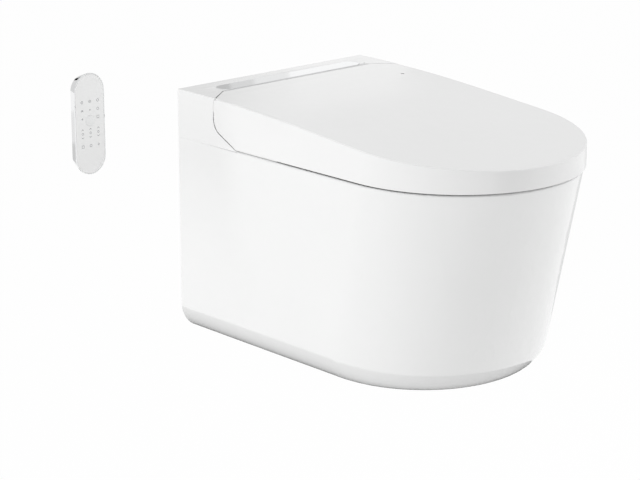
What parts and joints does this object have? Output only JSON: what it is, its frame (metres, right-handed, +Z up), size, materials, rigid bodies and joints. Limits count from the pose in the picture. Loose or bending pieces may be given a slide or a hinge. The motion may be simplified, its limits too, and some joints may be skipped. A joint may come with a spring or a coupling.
{
  "type": "shower toilet",
  "caption": "Wall-hung shower toilet with a wedge-shaped closing lid over a heated seat, extending washing nozzles, warm-air dryer, and a slim wall-held remote control beside it.",
  "frame": {"origin": "middle of the two wall fixings, on the face of the wall", "axes": "+X to the right as seen from the room, +Y into the wall, +Z up"},
  "size_m": [0.5871, 0.583, 0.4365],
  "materials": {
    "ceramic": "glossy white glaze",
    "shell_white": "smooth white moulding",
    "seat_white": "smooth white moulding",
    "module_white": "satin white moulding",
    "trim_chrome": "polished",
    "remote_white": "smooth white moulding",
    "remote_chrome": "satin-polished band",
    "remote_grey": "fine matt moulding",
    "steel": "turned",
    "zinc_steel": "zinc plated",
    "motor_steel": "pressed can",
    "bush_plastic": "self-lubricating moulding",
    "sleeve_plastic": "moulded",
    "seal_rubber": "matt",
    "pad_rubber": "soft pale grey",
    "lens_black": "dark window",
    "lamp_milky": "milky diffuser",
    "foil": "heating foil",
    "fins": "thin fins",
    "wand_white": "smooth moulding",
    "tip_white": "smooth moulding",
    "gear_plastic": "natural moulding",
    "inner_grey": "moulded",
    "fan_dark": "moulded",
    "carbon": "granular block",
    "board_green": "laminate",
    "valve_brass": "machined",
    "cell_steel": "plated can",
    "key_grey": "pale satin key"
  },
  "bodies": {
    "toilet": {"bowl": "ceramic", "pan_deck": "ceramic", "pan_skirt": "ceramic", "wall_sleeves": "sleeve_plastic", "flush_seal": "seal_rubber", "rear_housing": "shell_white", "base_plate": "zinc_steel", "base_bolts": "zinc_steel", "base_sleeves": "sleeve_plastic", "hinge_posts": "inner_grey", "hinge_pins": "steel", "trim_strip": "trim_chrome", "status_lamp": "lens_black", "module_cover": "module_white", "nozzle_guide": "inner_grey", "nozzle_motors": "motor_steel", "dryer_heater": "fins", "odour_filter": "carbon", "nozzle_shroud": "module_white", "flap_pin": "steel", "night_light": "lamp_milky", "power_supply": "inner_grey", "control_board": "board_green", "valve_block": "valve_brass", "water_inlet": "valve_brass", "water_heater": "steel", "pump": "fan_dark", "cable_gland": "fan_dark", "remote_holder": "remote_grey", "holder_magnets": "steel", "dryer_scroll": "fan_dark", "dryer_motor": "motor_steel", "odour_scroll": "fan_dark", "odour_motor": "motor_steel"},
    "seat": {"seat_shell": "seat_white", "seat_heater": "foil", "seat_base": "seat_white", "seat_bushes": "bush_plastic", "seat_pads": "pad_rubber"},
    "lid": {"lid_shell": "shell_white", "lid_panel": "shell_white", "lid_pads": "pad_rubber", "lid_bushes": "bush_plastic", "lid_lens": "lens_black"},
    "rear_nozzle": {"rear_wand": "wand_white", "rear_tip": "tip_white"},
    "front_nozzle": {"front_wand": "wand_white", "front_tip": "tip_white"},
    "rear_gear": {"rear_pinion": "gear_plastic"},
    "front_gear": {"front_pinion": "gear_plastic"},
    "air_flap": {"dryer_flap": "module_white"},
    "dryer_rotor": {"dryer_wheel": "fan_dark"},
    "odour_rotor": {"odour_wheel": "fan_dark"},
    "remote": {"remote_frame": "remote_chrome", "remote_face": "remote_white", "remote_back": "remote_grey", "battery_door": "remote_grey", "remote_board": "board_green", "battery_cells": "cell_steel"},
    "remote_stop_key": {"stop_key": "key_grey"}
  },
  "joints": [
    {"name": "seat_hinge", "type": "hinge", "parent": "toilet", "child": "seat", "pos_m": [0, -0.104, 0.159], "axis": [1, 0, 0], "range_deg": [-92, 0]},
    {"name": "lid_hinge", "type": "hinge", "parent": "seat", "child": "lid", "pos_m": [0, -0.104, 0.159], "axis": [-1, 0, 0], "range_deg": [0, 98]},
    {"name": "rear_wand_slide", "type": "slide", "parent": "toilet", "child": "rear_nozzle", "axis": [0, -0.9781, -0.2079], "range_m": [0, 0.075]},
    {"name": "front_wand_slide", "type": "slide", "parent": "toilet", "child": "front_nozzle", "axis": [0, -0.9781, -0.2079], "range_m": [0, 0.075]},
    {"name": "rear_pinion_spin", "type": "hinge", "parent": "toilet", "child": "rear_gear", "pos_m": [-0.011, -0.20176, 0.11069], "axis": [-1, 0, 0], "range_deg": [-20, 600]},
    {"name": "front_pinion_spin", "type": "hinge", "parent": "toilet", "child": "front_gear", "pos_m": [0.011, -0.20176, 0.11069], "axis": [-1, 0, 0], "range_deg": [-20, 600]},
    {"name": "dryer_flap_hinge", "type": "hinge", "parent": "toilet", "child": "air_flap", "pos_m": [0.053, -0.238, 0.097], "axis": [-1, 0, 0], "range_deg": [0, 60]},
    {"name": "dryer_fan_spin", "type": "hinge", "parent": "toilet", "child": "dryer_rotor", "pos_m": [0.05, -0.158, 0.115], "axis": [0, 0, 1], "continuous": true},
    {"name": "odour_fan_spin", "type": "hinge", "parent": "toilet", "child": "odour_rotor", "pos_m": [-0.05, -0.158, 0.115], "axis": [0, 0, 1], "continuous": true},
    {"name": "remote_lift", "type": "slide", "parent": "toilet", "child": "remote", "axis": [0, -1, 0], "range_m": [0, 0.04]},
    {"name": "stop_key_press", "type": "slide", "parent": "remote", "child": "remote_stop_key", "axis": [0, 1, 0], "range_m": [0, 0.0008], "stiffness_N_per_m": 500}
  ],
  "couplings": [
    {"joint": "rear_pinion_spin", "follows": "rear_wand_slide", "rad_per_m": 125},
    {"joint": "front_pinion_spin", "follows": "front_wand_slide", "rad_per_m": 125}
  ]
}
